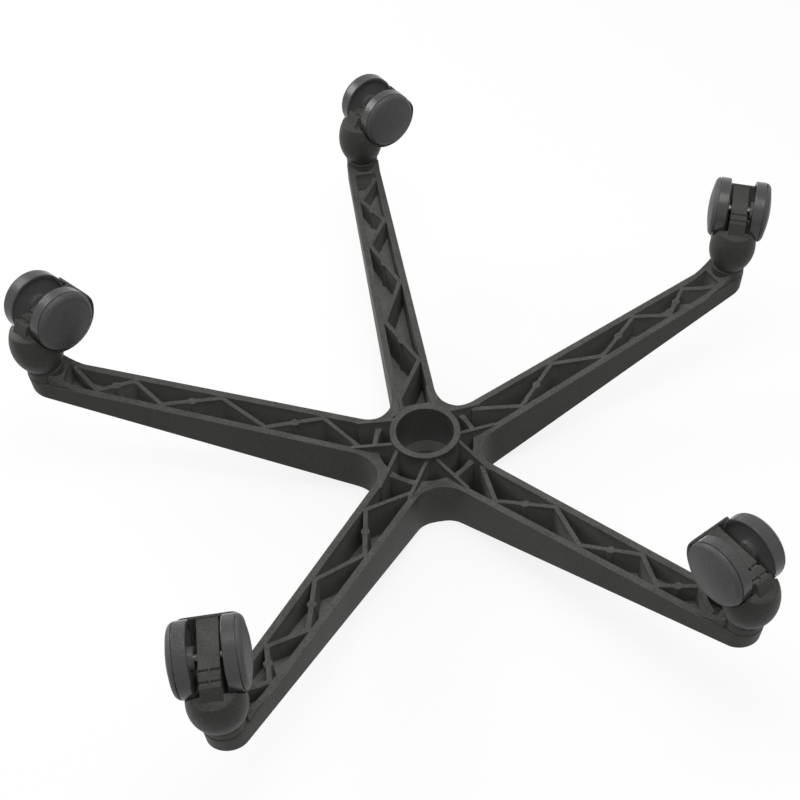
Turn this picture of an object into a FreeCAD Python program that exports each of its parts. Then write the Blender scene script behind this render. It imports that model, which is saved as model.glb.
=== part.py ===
import FreeCAD, Part

import math
import os

import Sketcher

# Five star base of an office chair, turned over: it rests on the top face of its hub, casters up.
# The origin is on the hub axis in that face, +Z up, and the first arm points along +X.

ARMS = 5

DIMENSIONS = {
    # hub
    "hub_bore_radius": 24.5,
    "tube_wall": 5.2,
    "tube_height": 65.0,
    "ring_radius": 44.7,
    "ring_wall": 4.0,
    "hub_floor": 4.0,
    "waist_radius": 48.6,
    # arms
    "stem_circle_diameter": 622.0,
    "arm_half_width": 19.0,
    "tip_radius": 15.0,
    "rim_wall": 5.5,
    "rim_height": 39.6,
    "rim_slope": 0.202,
    "foot_radius": 41.0,
    "foot_slope": 0.32,
    "skin": 3.5,
    # ribs inside the arms, and the corners of their zigzag as ratios of the hollow's length
    "rib_wall": 3.6,
    "rib_inset": 1.3,
    "rib_overlap": 1.05,
    "pip_radius": 3.4,
    "corner_0_ratio": 0.035,
    "corner_1_ratio": 0.175,
    "corner_2_ratio": 0.352,
    "corner_3_ratio": 0.512,
    "corner_4_ratio": 0.691,
    "corner_5_ratio": 0.794,
    "corner_6_ratio": 0.897,
    "corner_7_ratio": 0.982,
    "gusset_wall": 3.0,
    "gusset_offset": 13.5,
    "gusset_end": 61.0,
    "gusset_drop": 3.5,
    # caster sockets
    "shoulder_height": 112.0,
    "socket_radius": 14.5,
    "sweep_length": 34.0,
    "sweep_round": 48.0,
    "sweep_inset": 0.5,
    "socket_end_wall": 1.5,
    "stem_pin_radius": 5.5,
    "stem_pin_length": 22.0,
    "stem_lead": 1.0,
    "press_clearance": 0.05,
    "collar_radius": 7.5,
    "collar_height": 1.5,
    # caster housing
    "boss_radius": 20.0,
    "boss_gap": 0.8,
    "boss_base_radius": 13.5,
    "boss_middle": 20.0,
    "boss_side": 38.5,
    "boss_side_radius": 15.7,
    "boss_top": 41.0,
    "seat_gap": 0.3,
    "trail": 20.5,
    "axle_height": 44.0,
    "web_half": 7.0,
    "web_rise": 4.8,
    "web_back": 5.0,
    "web_slope": 7.0,
    "slot_1": 7.5,
    "slot_2": -1.0,
    "slot_length": 2.8,
    "slot_depth": 2.5,
    "slot_rib": 1.2,
    "hood_half": 19.5,
    "hood_wall": 1.8,
    "hood_end_angle": 12.0,
    "hood_root_angle": -125.0,
    "hood_corner": 5.0,
    "stem_head": 20.0,
    # wheels
    "wheel_radius": 25.4,
    "wheel_clearance": 1.0,
    "wheel_inner": 10.8,
    "hub_end": 9.3,
    "plate_recess": 1.6,
    "tread_outer": 19.4,
    "seam_width": 0.8,
    "dome_outer": 26.6,
    "dome_crown": 2.6,
    "dome_edge": 5.4,
    "dome_drop": 0.3,
    "tread_lead": 0.6,
    "wheel_wall": 2.6,
    "cap_wall": 2.4,
    "spigot_length": 2.5,
    "spigot_wall": 1.6,
    "wheel_hub_radius": 8.0,
    "axle_radius": 3.0,
    "axle_half": 20.2,
    "axle_end_gap": 0.6,
    "running_clearance": 0.08,
    "grip_width": 4.0,
    "grip_depth": 0.9,
    "grip_place": 13.0,
    # how far the cutting outlines run past the faces that they cut
    "overcut": 5.0,
    # how far each caster has swivelled from its own arm, in degrees
    "swivel_1_angle": 48.0,
    "swivel_2_angle": -64.3,
    "swivel_3_angle": -122.2,
    "swivel_4_angle": -146.6,
    "swivel_5_angle": 169.2,
}

doc = FreeCAD.newDocument("star_base")
sheet = doc.addObject("Spreadsheet::Sheet", "dims")
for row, (alias, size) in enumerate(DIMENSIONS.items(), start=1):
    sheet.set(f"A{row}", alias)
    sheet.set(f"B{row}", str(size))
    sheet.setAlias(f"B{row}", alias)
doc.recompute()

PARTS = []


def formula(text):
    """Sheet formula in which each named dimension is written without its sheet."""
    for name in sorted(DIMENSIONS, key=len, reverse=True):
        text = text.replace("$" + name, "dims." + name)
    return text


def value(text):
    """Number that a formula has now."""
    answer = sheet.evalExpression(formula(text))
    return float(getattr(answer, "Value", answer))


def new_body(name):
    return doc.addObject("PartDesign::Body", name)


def new_sketch(body, role, name):
    plane = next(item for item in body.Origin.OriginFeatures if item.Role == role)
    sketch = body.newObject("Sketcher::SketchObject", name)
    sketch.AttachmentSupport = [(plane, "")]
    sketch.MapMode = "FlatFace"
    return sketch


def pin_point(sketch, edge, end, across, up):
    """Hold one end of an edge at a place given by two formulas."""
    for kind, axis, text in (("DistanceX", -2, across), ("DistanceY", -1, up)):
        if text == "0":
            sketch.addConstraint(Sketcher.Constraint("PointOnObject", edge, end, axis))
            continue
        rule = sketch.addConstraint(Sketcher.Constraint(kind, -1, 1, edge, end, value(text)))
        sketch.setExpression(f"Constraints[{rule}]", formula(text))


def draw_outline(sketch, points, arcs=None):
    """Closed outline through points given as formulas; arcs maps an edge to (radius, turn).

    A turn of +1 runs anticlockwise from the edge's first point, and -1 clockwise.
    """
    arcs = arcs or {}
    places = [FreeCAD.Vector(value(x), value(y), 0) for x, y in points]
    first = sketch.GeometryCount
    count = len(points)
    heads = []
    for index in range(count):
        start = places[index]
        end = places[(index + 1) % count]
        if index not in arcs:
            sketch.addGeometry(Part.LineSegment(start, end))
            heads.append((1, 2))
            continue
        radius_text, turn = arcs[index]
        radius = value(radius_text)
        chord = end - start
        half = chord.Length / 2
        rise = math.sqrt(max(radius * radius - half * half, 0.0))
        normal = FreeCAD.Vector(-chord.y, chord.x, 0)
        normal.normalize()
        centre = start + chord * 0.5 + normal * rise * turn
        from_end, to_end = (start, end) if turn > 0 else (end, start)
        angle_from = math.atan2(from_end.y - centre.y, from_end.x - centre.x)
        angle_to = math.atan2(to_end.y - centre.y, to_end.x - centre.x)
        if angle_to <= angle_from:
            angle_to += 2 * math.pi
        circle = Part.Circle(centre, FreeCAD.Vector(0, 0, 1), radius)
        sketch.addGeometry(Part.ArcOfCircle(circle, angle_from, angle_to))
        heads.append((1, 2) if turn > 0 else (2, 1))
    for index in range(count):
        following = (index + 1) % count
        sketch.addConstraint(Sketcher.Constraint(
            "Coincident", first + index, heads[index][1], first + following, heads[following][0]))
    for index, (across, up) in enumerate(points):
        pin_point(sketch, first + index, heads[index][0], across, up)
    for index, (radius_text, _) in arcs.items():
        rule = sketch.addConstraint(Sketcher.Constraint("Radius", first + index, value(radius_text)))
        sketch.setExpression(f"Constraints[{rule}]", formula(radius_text))
    doc.recompute()


def draw_circle(sketch, across, up, radius):
    centre = FreeCAD.Vector(value(across), value(up), 0)
    edge = sketch.addGeometry(Part.Circle(centre, FreeCAD.Vector(0, 0, 1), value(radius)))
    rule = sketch.addConstraint(Sketcher.Constraint("Radius", edge, value(radius)))
    sketch.setExpression(f"Constraints[{rule}]", formula(radius))
    pin_point(sketch, edge, 3, across, up)
    doc.recompute()


def extrude(body, kind, sketch, length, midplane=False):
    feature = body.newObject(kind, sketch.Name + "_" + kind.split("::")[1].lower())
    feature.Profile = sketch
    feature.Length = value(length)
    feature.setExpression("Length", formula(length))
    feature.Midplane = midplane
    doc.recompute()
    return feature


def pad(body, sketch, length, **options):
    return extrude(body, "PartDesign::Pad", sketch, length, **options)


def pocket(body, sketch, length, **options):
    before = body.Shape.Volume
    feature = extrude(body, "PartDesign::Pocket", sketch, length, **options)
    if not feature.Shape.Volume < before - 0.01:
        raise RuntimeError(f"{feature.Name} cuts nothing")
    return feature


def turn(body, kind, sketch, axis):
    feature = body.newObject(kind, sketch.Name + "_" + kind.split("::")[1].lower())
    feature.Profile = sketch
    feature.ReferenceAxis = (sketch, [axis])
    feature.Angle = 360
    doc.recompute()
    return feature


def groove(body, sketch, axis):
    before = body.Shape.Volume
    feature = turn(body, "PartDesign::Groove", sketch, axis)
    if not feature.Shape.Volume < before - 0.01:
        raise RuntimeError(f"{feature.Name} cuts nothing")
    return feature


def around_hub(body, originals, name):
    """Repeat features once for each arm."""
    axis = next(item for item in body.Origin.OriginFeatures if item.Role == "Z_Axis")
    pattern = body.newObject("PartDesign::PolarPattern", name)
    pattern.Originals = originals
    pattern.Axis = (axis, [""])
    pattern.Angle = 360
    pattern.Occurrences = ARMS
    body.Tip = pattern
    doc.recompute()
    return pattern


def round_edges(body, name, radius, wanted):
    """Fillet the edges of the body's last feature that the given test picks."""
    last = body.Tip
    shape = last.Shape
    names = [f"Edge{place}" for place, edge in enumerate(shape.Edges, start=1) if wanted(shape, edge)]
    if not names:
        raise RuntimeError(f"{name} finds no edge")
    before = shape.Volume
    fillet = body.newObject("PartDesign::Fillet", name)
    fillet.Base = (last, names)
    fillet.Radius = value(radius)
    fillet.setExpression("Radius", formula(radius))
    body.Tip = fillet
    doc.recompute()
    if abs(fillet.Shape.Volume - before) < 0.01:
        raise RuntimeError(f"{name} rounds nothing")
    return fillet


def finish_part(item, label):
    item.Label = label
    PARTS.append(item)


def arc_radius(drop, reach):
    """Radius of an arc that starts square to its drop and falls by it over the reach."""
    return f"(({reach}^2 + {drop}^2) / (2 * {drop}))"


# Lines that the arms share, as formulas of a distance from the hub axis
HALF_STEP = f"{180 / ARMS}deg"
BLEND = f"(($waist_radius * sin({HALF_STEP}) - $arm_half_width) / (1 - sin({HALF_STEP})))"
ROOT = f"(($waist_radius + {BLEND}) * cos({HALF_STEP}))"
STEM_AT = "($stem_circle_diameter / 2)"
FAR = f"({STEM_AT} + 2 * $tip_radius)"
HIGH = "($shoulder_height + 2 * $overcut)"
HOLLOW_END = f"({STEM_AT} - $socket_radius - $socket_end_wall)"
ARM_SPREAD = f"(2 * $waist_radius * sin({HALF_STEP}) + $overcut)"


def rim_at(distance):
    return f"($rim_height + $rim_slope * {distance})"


def foot_at(distance):
    return f"($foot_slope * ({distance} - $foot_radius))"


def hollow_half_at(distance):
    """Half width of an arm's hollow, which narrows towards the caster."""
    share = f"({distance} - $ring_radius) / ({HOLLOW_END} - $ring_radius)"
    return f"($arm_half_width - $rim_wall - ($arm_half_width - $tip_radius) * {share})"


# Outer form of the moulding: five tapered arms joined by round waists
form = new_body("star_form")
plan = new_sketch(form, "XY_Plane", "arm_plan")
draw_outline(
    plan,
    [
        ("0", "0"),
        (f"$waist_radius * cos({HALF_STEP})", f"-$waist_radius * sin({HALF_STEP})"),
        (ROOT, "-$arm_half_width"),
        (STEM_AT, "-$tip_radius"),
        (f"{STEM_AT} + $tip_radius", "0"),
        (STEM_AT, "$tip_radius"),
        (ROOT, "$arm_half_width"),
        (f"$waist_radius * cos({HALF_STEP})", f"$waist_radius * sin({HALF_STEP})"),
    ],
    {1: (BLEND, -1), 3: ("$tip_radius", 1), 4: ("$tip_radius", 1), 6: (BLEND, -1)},
)
arm_block = pad(form, plan, HIGH)
above_rim = new_sketch(form, "XZ_Plane", "above_rim")
draw_outline(above_rim, [
    ("0", rim_at("$ring_radius")),
    ("$ring_radius", rim_at("$ring_radius")),
    (FAR, rim_at(FAR)),
    (FAR, f"{HIGH} + $overcut"),
    ("0", f"{HIGH} + $overcut"),
])
rim_cut = pocket(form, above_rim, ARM_SPREAD, midplane=True)
around_hub(form, [arm_block, rim_cut], "arms")

tube_plan = new_sketch(form, "XY_Plane", "tube_plan")
draw_circle(tube_plan, "0", "0", "$hub_bore_radius + $tube_wall")
pad(form, tube_plan, "$tube_height")

socket_plan = new_sketch(form, "XY_Plane", "socket_plan")
draw_circle(socket_plan, STEM_AT, "0", "$socket_radius")
socket_boss = pad(form, socket_plan, "$shoulder_height")
rim_sweep = new_sketch(form, "XZ_Plane", "rim_sweep")
sweep_start = f"({STEM_AT} - $sweep_length)"
sweep_end = f"({STEM_AT} - $socket_radius / 2)"
draw_outline(
    rim_sweep,
    [
        (sweep_start, rim_at(sweep_start)),
        (sweep_start, f"{rim_at(sweep_start)} - $overcut"),
        (sweep_end, f"{rim_at(sweep_start)} - $overcut"),
        (sweep_end, "$shoulder_height"),
    ],
    {3: ("$sweep_round", -1)},
)
sweep_pad = pad(form, rim_sweep, "2 * ($tip_radius - $sweep_inset)", midplane=True)
around_hub(form, [socket_boss, sweep_pad], "socket_bosses")

fins = []
for side, name in ((1, "left"), (-1, "right")):
    fin = new_sketch(form, "XZ_Plane", f"gusset_{name}")
    fin.AttachmentOffset = FreeCAD.Placement(
        FreeCAD.Vector(0, 0, value(f"{side} * $gusset_offset")), FreeCAD.Rotation())
    fin.setExpression("AttachmentOffset.Base.z", formula(f"{side} * $gusset_offset"))
    tube_side = "sqrt(($hub_bore_radius + $tube_wall / 2)^2 - $gusset_offset^2)"
    draw_outline(fin, [
        (tube_side, "$hub_floor"),
        ("$gusset_end", "$hub_floor + $foot_slope * ($gusset_end - $foot_radius)"),
        ("$gusset_end", rim_at("$gusset_end")),
        (tube_side, "$tube_height - $gusset_drop"),
    ])
    fins.append(pad(form, fin, "$gusset_wall", midplane=True))
around_hub(form, fins, "gussets")

below_foot = new_sketch(form, "XZ_Plane", "below_foot")
draw_outline(below_foot, [
    ("$foot_radius", "0"),
    (FAR, foot_at(FAR)),
    (FAR, "-$overcut"),
    ("$foot_radius", "-$overcut"),
])
foot_cut = pocket(form, below_foot, ARM_SPREAD, midplane=True)
around_hub(form, [foot_cut], "arm_feet")

# Hollow of the arms and of the hub, down to the skin
hollow = new_body("arm_hollow")
hollow_plan = new_sketch(hollow, "XY_Plane", "hollow_plan")
draw_outline(hollow_plan, [
    ("$ring_radius", f"-{hollow_half_at('$ring_radius')}"),
    (HOLLOW_END, f"-{hollow_half_at(HOLLOW_END)}"),
    (HOLLOW_END, hollow_half_at(HOLLOW_END)),
    ("$ring_radius", hollow_half_at("$ring_radius")),
])
hollow_block = pad(hollow, hollow_plan, HIGH)
hollow_floor = new_sketch(hollow, "XZ_Plane", "hollow_floor")
ring_middle = "($ring_radius - $ring_wall / 2)"
draw_outline(hollow_floor, [
    (ring_middle, "-$overcut"),
    (FAR, "-$overcut"),
    (FAR, f"{foot_at(FAR)} + $skin"),
    (ring_middle, f"{foot_at(ring_middle)} + $skin"),
])
floor_cut = pocket(hollow, hollow_floor, ARM_SPREAD, midplane=True)
around_hub(hollow, [hollow_block, floor_cut], "hollows")
hub_ring = new_sketch(hollow, "XZ_Plane", "hub_ring")
draw_outline(hub_ring, [
    ("$hub_bore_radius + $tube_wall", "$hub_floor"),
    ("$ring_radius - $ring_wall", "$hub_floor"),
    ("$ring_radius - $ring_wall", HIGH),
    ("$hub_bore_radius + $tube_wall", HIGH),
])
turn(hollow, "PartDesign::Revolution", hub_ring, "V_Axis")

# Zigzag ribs, the round pips on every other rib, and the two gussets of each arm
ribs = new_body("arm_ribs")
rib_pads = []


def corner(index):
    """Place of a zigzag corner, on the left wall for an even index."""
    distance = f"($ring_radius + $corner_{index}_ratio * ({HOLLOW_END} - $ring_radius))"
    side = 1 if index % 2 == 0 else -1
    return distance, f"({side} * ({hollow_half_at(distance)} - $rib_inset))"


for index in range(7):
    near_x, near_y = corner(index)
    far_x, far_y = corner(index + 1)
    slant = f"atan2({far_y} - {near_y}; {far_x} - {near_x})"
    over_x = f"($rib_overlap * cos({slant}))"
    over_y = f"($rib_overlap * sin({slant}))"
    half_x = f"($rib_wall / 2 * sin({slant}))"
    half_y = f"($rib_wall / 2 * cos({slant}))"
    rib = new_sketch(ribs, "XY_Plane", f"rib_{index}")
    draw_outline(rib, [
        (f"{near_x} - {over_x} + {half_x}", f"{near_y} - {over_y} - {half_y}"),
        (f"{far_x} + {over_x} + {half_x}", f"{far_y} + {over_y} - {half_y}"),
        (f"{far_x} + {over_x} - {half_x}", f"{far_y} + {over_y} + {half_y}"),
        (f"{near_x} - {over_x} - {half_x}", f"{near_y} - {over_y} + {half_y}"),
    ])
    rib_pads.append(pad(ribs, rib, HIGH))
    if index % 2 == 1:
        pip = new_sketch(ribs, "XY_Plane", f"pip_{index}")
        draw_circle(pip, f"({near_x} + {far_x}) / 2", f"({near_y} + {far_y}) / 2", "$pip_radius")
        rib_pads.append(pad(ribs, pip, HIGH))
for side, name in ((1, "left"), (-1, "right")):
    strip = new_sketch(ribs, "XY_Plane", f"gusset_strip_{name}")
    inner = f"{side} * ($gusset_offset - $gusset_wall / 2)"
    outer = f"{side} * ($gusset_offset + $gusset_wall / 2)"
    draw_outline(strip, [
        ("$hub_bore_radius / 2", inner),
        ("$gusset_end", inner),
        ("$gusset_end", outer),
        ("$hub_bore_radius / 2", outer),
    ])
    rib_pads.append(pad(ribs, strip, HIGH))
around_hub(ribs, rib_pads, "all_ribs")

# Bore of the hub and the sockets for the caster stems
bores = new_body("bores")
bore_side = new_sketch(bores, "XZ_Plane", "bore_side")
draw_outline(bore_side, [
    ("0", "-$overcut"),
    ("$hub_bore_radius", "-$overcut"),
    ("$hub_bore_radius", "$tube_height + $overcut"),
    ("0", "$tube_height + $overcut"),
])
turn(bores, "PartDesign::Revolution", bore_side, "V_Axis")

socket_bores = new_body("socket_bores")
socket_side = new_sketch(socket_bores, "XY_Plane", "socket_side")
socket_side.AttachmentOffset = FreeCAD.Placement(
    FreeCAD.Vector(0, 0, value("$shoulder_height - $stem_pin_length - $seat_gap")), FreeCAD.Rotation())
socket_side.setExpression(
    "AttachmentOffset.Base.z", formula("$shoulder_height - $stem_pin_length - $seat_gap"))
draw_circle(socket_side, STEM_AT, "0", "$stem_pin_radius + $press_clearance")
socket_bore = pad(socket_bores, socket_side, "$stem_pin_length + $seat_gap + $overcut")
around_hub(socket_bores, [socket_bore], "all_sockets")

# The moulding is the form less its cells and bores
cells = doc.addObject("Part::Cut", "cells")
cells.Base = hollow
cells.Tool = ribs
ribbed = doc.addObject("Part::Cut", "ribbed_form")
ribbed.Base = form
ribbed.Tool = cells
bored = doc.addObject("Part::Cut", "bored_form")
bored.Base = ribbed
bored.Tool = bores
star = doc.addObject("Part::Cut", "star")
star.Base = bored
star.Tool = socket_bores
doc.recompute()
finish_part(star, "star_base")


def place_caster_piece(body, number, on_axle):
    """Put a piece at its arm's stem, or at the axle, turned by the caster's swivel."""
    arm = f"{360 / ARMS * (number - 1)}deg"
    heading = f"({arm} + $swivel_{number}_angle * 1deg)"
    across = f"{STEM_AT} * cos({arm})"
    along = f"{STEM_AT} * sin({arm})"
    height = "$shoulder_height"
    if on_axle:
        across += f" + $trail * cos({heading})"
        along += f" + $trail * sin({heading})"
        height += " + $axle_height"
    body.setExpression("Placement.Rotation.Angle", formula(heading))
    body.setExpression("Placement.Base.x", formula(across))
    body.setExpression("Placement.Base.y", formula(along))
    body.setExpression("Placement.Base.z", formula(height))


def make_stem(name):
    """Steel stem: a pin for the socket, a collar on its rim and a spindle for the housing."""
    body = new_body(name)
    side = new_sketch(body, "XZ_Plane", name + "_side")
    pin = "$stem_pin_radius"
    neck = "($stem_pin_radius - $grip_depth)"
    draw_outline(side, [
        ("0", "-$stem_pin_length"),
        (f"{pin} - $stem_lead", "-$stem_pin_length"),
        (pin, "-$stem_pin_length + $stem_lead"),
        (pin, "-$grip_place - $grip_width"),
        (neck, "-$grip_place - $grip_width"),
        (neck, "-$grip_place"),
        (pin, "-$grip_place"),
        (pin, "0"),
        ("$collar_radius", "0"),
        ("$collar_radius", "$collar_height"),
        (pin, "$collar_height"),
        (pin, "$stem_head"),
        ("0", "$stem_head"),
    ])
    turn(body, "PartDesign::Revolution", side, "V_Axis")
    return body


def make_grip_ring(name):
    """Spring ring in the groove of the stem, which holds it in the socket."""
    body = new_body(name)
    side = new_sketch(body, "XZ_Plane", name + "_side")
    inner = "($stem_pin_radius - $grip_depth + $press_clearance)"
    outer = "($stem_pin_radius + $press_clearance / 2)"
    draw_outline(side, [
        (inner, "-$grip_place - $grip_width + $press_clearance"),
        (outer, "-$grip_place - $grip_width + $press_clearance"),
        (outer, "-$grip_place - $press_clearance"),
        (inner, "-$grip_place - $press_clearance"),
    ])
    turn(body, "PartDesign::Revolution", side, "V_Axis")
    return body


def is_hood_corner(shape, edge):
    """A short edge across the thin hood at its free end."""
    across_hood = abs(edge.Length - value("$hood_wall")) < 0.01
    return across_hood and edge.CenterOfMass.z > value("$axle_height")


def make_housing(name):
    """Moulded caster housing: round boss, low central web and a thin hood under the wheels."""
    body = new_body(name)
    boss = new_sketch(body, "XZ_Plane", name + "_boss")
    bowl = arc_radius("($boss_radius - $boss_base_radius)", "($boss_middle - $boss_gap)")
    taper = arc_radius("($boss_radius - $boss_side_radius)", "($boss_side - $boss_middle)")
    dome = arc_radius("($boss_top - $boss_side)", "$boss_side_radius")
    draw_outline(
        boss,
        [
            ("0", "$boss_gap"),
            ("$boss_base_radius", "$boss_gap"),
            ("$boss_radius", "$boss_middle"),
            ("$boss_side_radius", "$boss_side"),
            ("0", "$boss_top"),
        ],
        {1: (bowl, 1), 2: (taper, 1), 3: (dome, 1)},
    )
    turn(body, "PartDesign::Revolution", boss, "V_Axis")

    wheel_space = new_sketch(body, "XZ_Plane", name + "_wheel_space")
    draw_circle(wheel_space, "$trail", "$axle_height", "$wheel_radius + $wheel_clearance")
    pocket(body, wheel_space, "2 * ($boss_radius + $overcut)", midplane=True)

    inner = "($wheel_radius + $wheel_clearance)"
    outer = f"({inner} + $hood_wall)"
    hood = new_sketch(body, "XZ_Plane", name + "_hood")
    end_cos = "cos($hood_end_angle * 1deg)"
    end_sin = "sin($hood_end_angle * 1deg)"
    root_cos = "cos($hood_root_angle * 1deg)"
    root_sin = "sin($hood_root_angle * 1deg)"
    draw_outline(
        hood,
        [
            (f"$trail + {inner} * {end_cos}", f"$axle_height + {inner} * {end_sin}"),
            (f"$trail + {inner} * {root_cos}", f"$axle_height + {inner} * {root_sin}"),
            (f"$trail + {outer} * {root_cos}", f"$axle_height + {outer} * {root_sin}"),
            (f"$trail + {outer} * {end_cos}", f"$axle_height + {outer} * {end_sin}"),
        ],
        {0: (inner, -1), 2: (outer, 1)},
    )
    pad(body, hood, "2 * $hood_half", midplane=True)
    round_edges(body, name + "_hood_corners", "$hood_corner", is_hood_corner)

    web = new_sketch(body, "XZ_Plane", name + "_web")
    reach = f"({inner} + $hood_wall / 2)"
    web_top = "($axle_height + $web_rise)"
    web_foot = f"($axle_height + {reach} * sin(225deg))"
    draw_outline(
        web,
        [
            ("-$web_back", web_top),
            ("-$web_back - $web_slope", "$boss_side - $hood_wall"),
            ("-$web_back", web_foot),
            (f"$trail + {reach} * cos(225deg)", web_foot),
            (f"$trail + sqrt({reach}^2 - $web_rise^2)", web_top),
        ],
        {3: (reach, 1)},
    )
    pad(body, web, "2 * $web_half", midplane=True)

    slots = new_sketch(body, "XY_Plane", name + "_slots")
    slots.AttachmentOffset = FreeCAD.Placement(FreeCAD.Vector(0, 0, value(web_top)), FreeCAD.Rotation())
    slots.setExpression("AttachmentOffset.Base.z", formula(web_top))
    for place in ("$slot_1", "$slot_2"):
        for side in (1, -1):
            near = f"{side} * $slot_rib / 2"
            far = f"{side} * ($web_half + $overcut)"
            draw_outline(slots, [
                (f"{place} - $slot_length / 2", near),
                (f"{place} + $slot_length / 2", near),
                (f"{place} + $slot_length / 2", far),
                (f"{place} - $slot_length / 2", far),
            ])
    pocket(body, slots, "$slot_depth")

    axle_hole = new_sketch(body, "XZ_Plane", name + "_axle_hole")
    draw_circle(axle_hole, "$trail", "$axle_height", "$axle_radius + $press_clearance")
    pocket(body, axle_hole, "2 * ($web_half + $overcut)", midplane=True)

    stem_hole = new_sketch(body, "XZ_Plane", name + "_stem_hole")
    collar_room = "($collar_radius + $seat_gap)"
    collar_top = "($collar_height + $seat_gap)"
    spindle = "($stem_pin_radius + $running_clearance)"
    draw_outline(stem_hole, [
        ("0", "-$overcut"),
        (collar_room, "-$overcut"),
        (collar_room, collar_top),
        (spindle, collar_top),
        (spindle, "$stem_head + $seat_gap"),
        ("0", "$stem_head + $seat_gap"),
    ])
    groove(body, stem_hole, "V_Axis")
    return body


def make_axle(name):
    body = new_body(name)
    section = new_sketch(body, "XZ_Plane", name + "_section")
    draw_circle(section, "0", "0", "$axle_radius")
    pad(body, section, "2 * $axle_half", midplane=True)
    return body


WHEEL_RING = "($wheel_radius - $wheel_wall)"
CAP_SHOULDER = "($tread_outer + $seam_width)"


def revolve_about_axle(name, side, points, arcs=None):
    """Revolve a half section, given for the left side, about the axle; side -1 mirrors it."""
    body = new_body(name)
    half = new_sketch(body, "YZ_Plane", name + "_half")
    signed = [(f"{side} * ({across})", up) for across, up in points]
    draw_outline(half, signed, {edge: (radius, -side) for edge, radius in (arcs or {}).items()})
    turn(body, "PartDesign::Revolution", half, "H_Axis")
    return body


def make_wheel(name, side):
    """Moulded wheel half: tread ring and hub, joined by a plate that faces the web."""
    bore = "($axle_radius + $running_clearance)"
    plate = "($wheel_inner + $plate_recess)"
    return revolve_about_axle(name, side, [
        ("$hub_end", bore),
        ("$hub_end", "$wheel_hub_radius"),
        (plate, "$wheel_hub_radius"),
        (plate, WHEEL_RING),
        ("$wheel_inner", WHEEL_RING),
        ("$wheel_inner", "$wheel_radius - $tread_lead"),
        ("$wheel_inner + $tread_lead", "$wheel_radius"),
        ("$tread_outer", "$wheel_radius"),
        ("$tread_outer", WHEEL_RING),
        (f"{plate} + $wheel_wall", WHEEL_RING),
        (f"{plate} + $wheel_wall", "$wheel_hub_radius"),
        ("$axle_half + $axle_end_gap", "$wheel_hub_radius"),
        ("$axle_half + $axle_end_gap", bore),
    ])


def make_cap(name, side):
    """Domed cap of a wheel half, pressed into the tread ring with a spigot; a seam stays open."""
    rim = "($wheel_radius - $dome_drop)"
    face = "($dome_outer - $dome_crown)"
    flat = "($wheel_radius - $dome_edge)"
    crown = arc_radius("$dome_crown", flat)
    edge = arc_radius(f"({face} - {CAP_SHOULDER})", f"({rim} - {flat})")
    spigot = f"({WHEEL_RING} - $press_clearance)"
    points = [
        (f"{face} - $cap_wall", "0"),
        (f"{face} - $cap_wall", f"{spigot} - $spigot_wall"),
        ("$tread_outer - $spigot_length", f"{spigot} - $spigot_wall"),
        ("$tread_outer - $spigot_length", spigot),
        (CAP_SHOULDER, spigot),
        (CAP_SHOULDER, rim),
        (face, flat),
        ("$dome_outer", "0"),
    ]
    return revolve_about_axle(name, side, points, {5: edge, 6: crown})


for number in range(1, ARMS + 1):
    caster = f"caster_{number}"
    pieces = [
        (make_stem(caster + "_stem_body"), "stem", False),
        (make_grip_ring(caster + "_grip_body"), "grip_ring", False),
        (make_housing(caster + "_housing_body"), "housing", False),
        (make_axle(caster + "_axle_body"), "axle", True),
        (make_wheel(caster + "_left_body", 1), "wheel_left", True),
        (make_wheel(caster + "_right_body", -1), "wheel_right", True),
        (make_cap(caster + "_left_cap_body", 1), "cap_left", True),
        (make_cap(caster + "_right_cap_body", -1), "cap_right", True),
    ]
    for body, label, on_axle in pieces:
        place_caster_piece(body, number, on_axle)
        finish_part(body, f"{caster}_{label}")

doc.recompute()
for item in doc.Objects:
    if "Invalid" in item.State or "Error" in item.State:
        raise RuntimeError(f"{item.Name} failed: {item.State}")
for item in PARTS:
    if item.Shape.isNull() or not item.Shape.isValid():
        raise RuntimeError(f"{item.Label} has no valid shape")

os.makedirs("parts", exist_ok=True)
for item in PARTS:
    item.Shape.exportStep(f"parts/{item.Label}.step")
    print(item.Label, len(item.Shape.Solids), round(item.Shape.Volume), item.Shape.BoundBox)
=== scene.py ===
import bpy
from mathutils import Matrix, Vector


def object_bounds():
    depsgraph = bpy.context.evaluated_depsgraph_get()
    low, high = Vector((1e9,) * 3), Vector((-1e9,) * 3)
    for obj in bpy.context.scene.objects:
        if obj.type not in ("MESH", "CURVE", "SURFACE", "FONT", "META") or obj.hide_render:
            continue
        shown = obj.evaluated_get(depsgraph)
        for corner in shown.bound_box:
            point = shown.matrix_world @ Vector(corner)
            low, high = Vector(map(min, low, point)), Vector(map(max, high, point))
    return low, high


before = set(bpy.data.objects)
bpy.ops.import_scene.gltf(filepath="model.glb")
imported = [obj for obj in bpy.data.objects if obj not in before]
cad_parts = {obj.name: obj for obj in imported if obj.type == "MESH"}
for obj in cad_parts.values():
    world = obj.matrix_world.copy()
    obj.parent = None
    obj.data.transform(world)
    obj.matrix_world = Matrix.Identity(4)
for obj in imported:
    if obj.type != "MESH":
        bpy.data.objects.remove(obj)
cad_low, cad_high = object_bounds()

# The camera stands where the photograph was taken from: in front of the base and well above it.
# The framing is a little off the lens axis, which the two shifts repeat.
view_right = Vector((0.85445, -0.51894, 0.02498))
view_down = Vector((-0.40244, -0.69149, -0.59990))
view_forward = view_right.cross(view_down)
photo_width = 800
focal_length_px = 1164.96
centre_px = (502.82, 495.78)
bpy.ops.object.camera_add(location=(-0.2875, -0.5630, 0.8157))
camera = bpy.context.object
camera.name = "camera"
turned = Matrix((view_right, -view_down, -view_forward)).transposed()
camera.rotation_euler = turned.to_euler()
camera.data.sensor_width = 36.0
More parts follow.
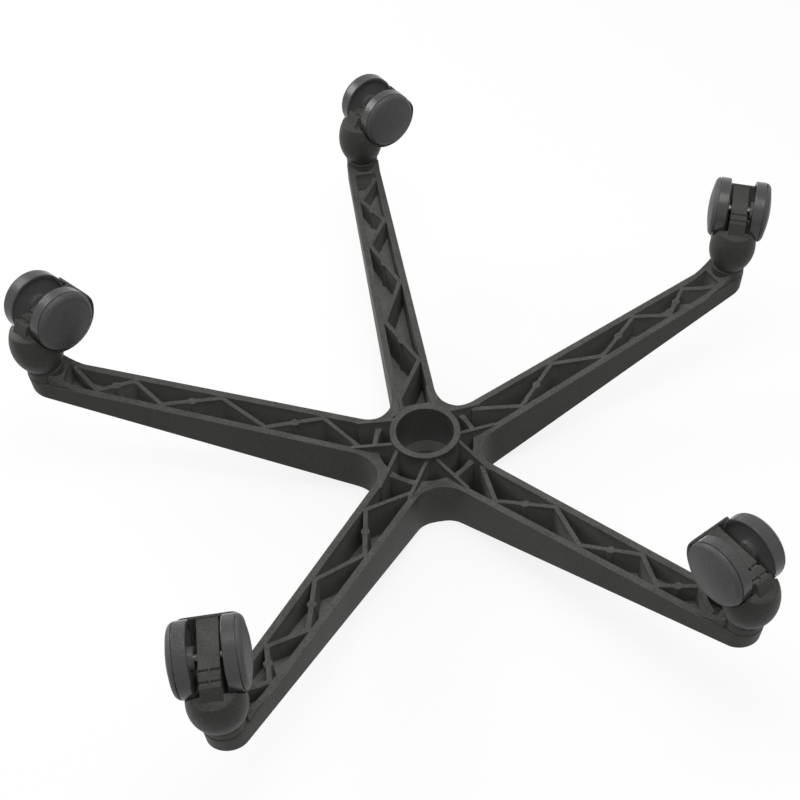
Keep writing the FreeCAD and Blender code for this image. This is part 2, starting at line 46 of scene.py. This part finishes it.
camera.data.lens = focal_length_px * camera.data.sensor_width / photo_width
camera.data.shift_x = (photo_width / 2 - centre_px[0]) / photo_width
camera.data.shift_y = (centre_px[1] - photo_width / 2) / photo_width
camera.data.clip_start = 0.05
camera.data.clip_end = 50.0
bpy.context.scene.camera = camera


# A white studio: one wide matt sheet under the base, and soft lamps above it. Seen by the camera the
# sheet is nearly pure white, as in the photograph, and still takes the base's shadow.
class Signal:
    """An output of a node. Sums, differences and products of signals add Math nodes."""

    def __init__(self, sheet, socket):
        self.sheet = sheet
        self.socket = socket

    def combine(self, operation, first, second):
        return self.sheet.node("ShaderNodeMath", {"operation": operation}, {0: first, 1: second})

    def __add__(self, other):
        return self.combine("ADD", self, other)

    def __sub__(self, other):
        return self.combine("SUBTRACT", self, other)

    def __rsub__(self, other):
        return self.combine("SUBTRACT", other, self)

    def __mul__(self, other):
        return self.combine("MULTIPLY", self, other)

    __radd__ = __add__
    __rmul__ = __mul__


class NodeSheet:
    """The nodes of one finish, or of the studio's air."""

    def __init__(self, owner):
        owner.use_nodes = True
        self.owner = owner
        self.tree = owner.node_tree
        self.tree.nodes.clear()

    def node(self, kind, settings, inputs, output=0):
        """Add a node: its settings first, then the values or links of its sockets."""
        made = self.tree.nodes.new(kind)
        for name, setting in settings.items():
            if name == "stops":
                self.set_stops(made.color_ramp, setting)
            else:
                setattr(made, name, setting)
        for key, wanted in inputs.items():
            if isinstance(wanted, Signal):
                self.tree.links.new(wanted.socket, made.inputs[key])
            else:
                made.inputs[key].default_value = wanted
        return Signal(self, made.outputs[output]) if made.outputs else made

    def set_stops(self, ramp, stops):
        ramp.elements[0].position, ramp.elements[1].position = stops[0][0], stops[-1][0]
        for place, _ in stops[1:-1]:
            ramp.elements.new(place)
        for element, (_, level) in zip(ramp.elements, stops):
            element.color = (level, level, level, 1.0)

    def blend(self, share, first, second):
        """Mix two colours by a share from 0 to 1."""
        return self.node("ShaderNodeMix", {"data_type": "RGBA"}, {0: share, 6: first, 7: second}, 2)

    def seen(self):
        """1 for what the camera sees, straight or in a reflection, and 0 for light that lights the object."""
        camera_ray, mirrored, through = (
            self.node("ShaderNodeLightPath", {}, {}, output)
            for output in ("Is Camera Ray", "Is Glossy Ray", "Is Transmission Ray"))
        return camera_ray + mirrored + through


def grey(level):
    return (level, level, level, 1.0)


sheet_width = 12.0
sheet_gap = 0.0003
glow_share = 0.85
bpy.ops.mesh.primitive_plane_add(size=sheet_width, location=(0.0, 0.0, cad_low.z - sheet_gap))
studio_floor = bpy.context.object
studio_floor.name = "studio_floor"
floor_paint = NodeSheet(bpy.data.materials.new("studio_white"))
sheet_colour = floor_paint.blend(floor_paint.seen(), grey(0.25), grey(0.93))
matt = floor_paint.node(
    "ShaderNodeBsdfPrincipled", {}, {"Base Color": sheet_colour, "Roughness": 0.9, "Specular IOR Level": 0.1})
white = floor_paint.node("ShaderNodeEmission", {}, {"Color": grey(1.0), "Strength": 1.0})
lit = floor_paint.node("ShaderNodeMixShader", {}, {0: floor_paint.seen() * glow_share, 1: matt, 2: white})
floor_paint.node("ShaderNodeOutputMaterial", {}, {"Surface": lit})
studio_floor.data.materials.append(floor_paint.owner)

bpy.context.scene.world = bpy.data.worlds.new("studio_air")
air = NodeSheet(bpy.context.scene.world)
direction = air.node("ShaderNodeTexCoord", {}, {}, "Generated")
climb = air.node("ShaderNodeSeparateXYZ", {}, {0: direction}, "Z")
dome = air.blend(climb, grey(0.12), grey(0.95))
soft_light = air.node("ShaderNodeBackground", {}, {"Color": dome, "Strength": 1.0})
backdrop = air.node("ShaderNodeBackground", {}, {"Color": grey(1.0), "Strength": 1.0})
air_mix = air.node("ShaderNodeMixShader", {}, {0: air.seen(), 1: soft_light, 2: backdrop})
air.node("ShaderNodeOutputWorld", {}, {"Surface": air_mix})
for lamp_name, place, size, watts in (
    ("softbox_far_left", (-0.75, 1.5, 0.95), 0.8, 14.0),
    ("softbox_above", (0.05, -0.05, 0.95), 0.45, 3.0),
):
    bpy.ops.object.light_add(type="AREA", location=place)
    lamp = bpy.context.object
    lamp.name = lamp_name
    lamp.data.shape = "SQUARE"
    lamp.data.size = size
    lamp.data.energy = watts
    lamp.rotation_euler = (-Vector(place)).to_track_quat("-Z", "Y").to_euler()
bpy.context.scene.view_settings.view_transform = "Standard"


# The star is one moulding of black glass-filled nylon. Its outside has a fine spark-eroded grain, each rim
# and rib is painted paler along its edge as a painted highlight, and its cells are painted paler as painted
# fill light.
def moulded_nylon(name, colour, dust_and_top_light, grain, gloss, shine, edge_radius, pale_bore_band=None):
    """Satin black plastic with cloudy sheen and fine grain, painted paler in its hollows as painted fill
    light and along every edge as a painted highlight.

    film is how much paler what faces up is painted, partly for dust and partly as painted top light, grain
    how many pores a metre has, gloss the least roughness and shine the specular level. pale_bore_band is the
    radius, lower end and upper end, in metres, of a stretch of the bore that is painted pale.
    """
    sheet = NodeSheet(bpy.data.materials.new(name))
    where = sheet.node("ShaderNodeTexCoord", {}, {}, "Object")

    def noise(scale, detail):
        return sheet.node("ShaderNodeTexNoise", {}, {"Vector": where, "Scale": scale, "Detail": detail})

    def ramp(signal, stops):
        return sheet.node("ShaderNodeValToRGB", {"stops": stops}, {"Fac": signal})

    def paler(times):
        return (*(part * times for part in colour), 1.0)

    clouds = noise(14.0, 3.0)
    streaks = noise(60.0, 4.0)
    pores = noise(grain, 2.0)
    specks = noise(grain * 0.4, 3.0) - 0.5
    rounded = sheet.node("ShaderNodeBevel", {"samples": 6}, {"Radius": edge_radius}, "Normal")
    flat = sheet.node("ShaderNodeNewGeometry", {}, {}, "Normal")
    facing = sheet.node("ShaderNodeVectorMath", {"operation": "DOT_PRODUCT"}, {0: rounded, 1: flat}, "Value")
    # Along every edge the colour is painted paler, a painted highlight, and the roughness is lower.
    highlit_edges = ramp((1.0 - facing) * 6.0, [(0.05, 0.0), (0.9, 1.0)]) * streaks
    openness = sheet.node("ShaderNodeAmbientOcclusion", {"samples": 8}, {"Distance": 0.035}, "AO")
    # What faces up is painted paler: partly dust lying there, partly painted top light.
    tilt = sheet.node("ShaderNodeSeparateXYZ", {}, {0: flat}, "Z")
    dust_and_top_light_mask = ramp(tilt, [(0.35, 0.0), (0.95, 1.0)]) * (streaks * dust_and_top_light)
    # Hollows and recesses are painted paler, a painted fill light that lifts the shade in them.
    hollow_fill_light = ramp((1.0 - openness) + (streaks - 0.5) * 0.25, [(0.3, 0.0), (0.95, 1.0)])
    tone = sheet.blend(dust_and_top_light_mask + specks * 1.5, paler(1.0), paler(2.7))
    tone = sheet.blend(hollow_fill_light + hollow_fill_light * specks * 0.8, tone, paler(4.8))
    tone = sheet.blend(highlit_edges, tone, paler(2.2))
    # A band inside the bore, between two heights, is painted pale.
    if pale_bore_band:
        # A ramp runs from 0 to 1, and 1 stands for 50 mm here.
        per_metre = 20.0
        lip = 0.004
        fade = 0.012
        radius, low, high = (per_metre * size for size in pale_bore_band)
        height = sheet.node("ShaderNodeSeparateXYZ", {}, {0: where}, "Z")
        level = sheet.node("ShaderNodeVectorMath", {"operation": "MULTIPLY"}, {0: where, 1: (1.0, 1.0, 0.0)})
        spread = sheet.node("ShaderNodeVectorMath", {"operation": "LENGTH"}, {0: level}, "Value")
        inside = ramp(spread * per_metre, [(radius, 1.0), (radius + lip, 0.0)])
        stretch = ramp(height * per_metre + (streaks - 0.5) * 0.03, [
            (low - fade, 0.0), (low, 1.0), (high, 1.0), (high + fade, 0.0)])
        tone = sheet.blend(inside * stretch, tone, paler(5.8))
    relief = sheet.node(
        "ShaderNodeBump", {},
        {"Strength": 0.28, "Distance": 0.0002, "Height": pores, "Normal": rounded}, "Normal")
    shader = sheet.node("ShaderNodeBsdfPrincipled", {}, {
        "Base Color": tone,
        "Roughness": gloss + clouds * 0.2 - highlit_edges * 0.1,
        "Normal": relief,
        "IOR": 1.53,
        "Specular IOR Level": shine,
    })
    sheet.node("ShaderNodeOutputMaterial", {}, {"Surface": shader})
    return sheet.owner


def dress(node, material):
    """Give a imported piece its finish, in place of the plain one."""
    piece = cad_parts[node]
    piece.data.materials.clear()
    piece.data.materials.append(material)


star_nylon = moulded_nylon(
    "star_nylon", (0.041, 0.0408, 0.0382), dust_and_top_light=0.55, grain=1500.0, gloss=0.42, shine=0.14,
    edge_radius=0.0009, pale_bore_band=(0.0255, 0.009, 0.023))
dress("star_base", star_nylon)

# Each caster's housing is a smaller moulding of the same kind, a little smoother: a round boss on the
# stem, a low web between the wheels and a thin hood that curves round their floor side.
housing_nylon = moulded_nylon(
    "housing_nylon", (0.037, 0.0368, 0.035), dust_and_top_light=0.2, grain=1800.0, gloss=0.38, shine=0.15,
    edge_radius=0.0007)
casters = [f"caster_{number}" for number in range(1, 6)]
for caster in casters:
    dress(f"{caster}_housing", housing_nylon)

# The wheel halves are harder nylon with treads polished by rolling. A domed satin cap is snapped into
# each of them from outside, and an open seam stays between the two.
wheel_nylon = moulded_nylon(
    "wheel_nylon", (0.036, 0.036, 0.0354), dust_and_top_light=0.1, grain=2200.0, gloss=0.14, shine=0.4,
    edge_radius=0.0005)
cap_nylon = moulded_nylon(
    "cap_nylon", (0.058, 0.058, 0.057), dust_and_top_light=0.1, grain=2000.0, gloss=0.36, shine=0.25,
    edge_radius=0.0006)
for caster in casters:
    for side in ("left", "right"):
        dress(f"{caster}_wheel_{side}", wheel_nylon)
        dress(f"{caster}_cap_{side}", cap_nylon)


# Stems and grip rings are drawn steel, turned and zinc plated. The axles are the same wire, painted dark as
# painted shade for the gap between the wheels where they sit.
def drawn_steel(name, dark, light, gloss):
    """Bright metal with fine drawing marks, and stains between a dark and a light tone."""
    sheet = NodeSheet(bpy.data.materials.new(name))
    where = sheet.node("ShaderNodeTexCoord", {}, {}, "Object")
    marks = sheet.node("ShaderNodeTexNoise", {}, {"Vector": where, "Scale": 700.0, "Detail": 2.0})
    stains = sheet.node("ShaderNodeTexNoise", {}, {"Vector": where, "Scale": 90.0, "Detail": 3.0})
    tone = sheet.blend(stains, (*dark, 1.0), (*light, 1.0))
    relief = sheet.node(
        "ShaderNodeBump", {}, {"Strength": 0.12, "Distance": 0.0001, "Height": marks}, "Normal")
    shader = sheet.node("ShaderNodeBsdfPrincipled", {}, {
        "Base Color": tone, "Roughness": gloss + marks * 0.2, "Normal": relief, "Metallic": 1.0})
    sheet.node("ShaderNodeOutputMaterial", {}, {"Surface": shader})
    return sheet.owner


plated_steel = drawn_steel("plated_steel", (0.42, 0.42, 0.41), (0.62, 0.61, 0.59), gloss=0.22)
# The axle steel is painted dark, as painted shade for the gap between the wheels.
shade_darkened_steel = drawn_steel("shade_darkened_steel", (0.07, 0.068, 0.064), (0.2, 0.195, 0.185), gloss=0.12)
for caster in casters:
    dress(f"{caster}_stem", plated_steel)
    dress(f"{caster}_grip_ring", plated_steel)
    dress(f"{caster}_axle", shade_darkened_steel)
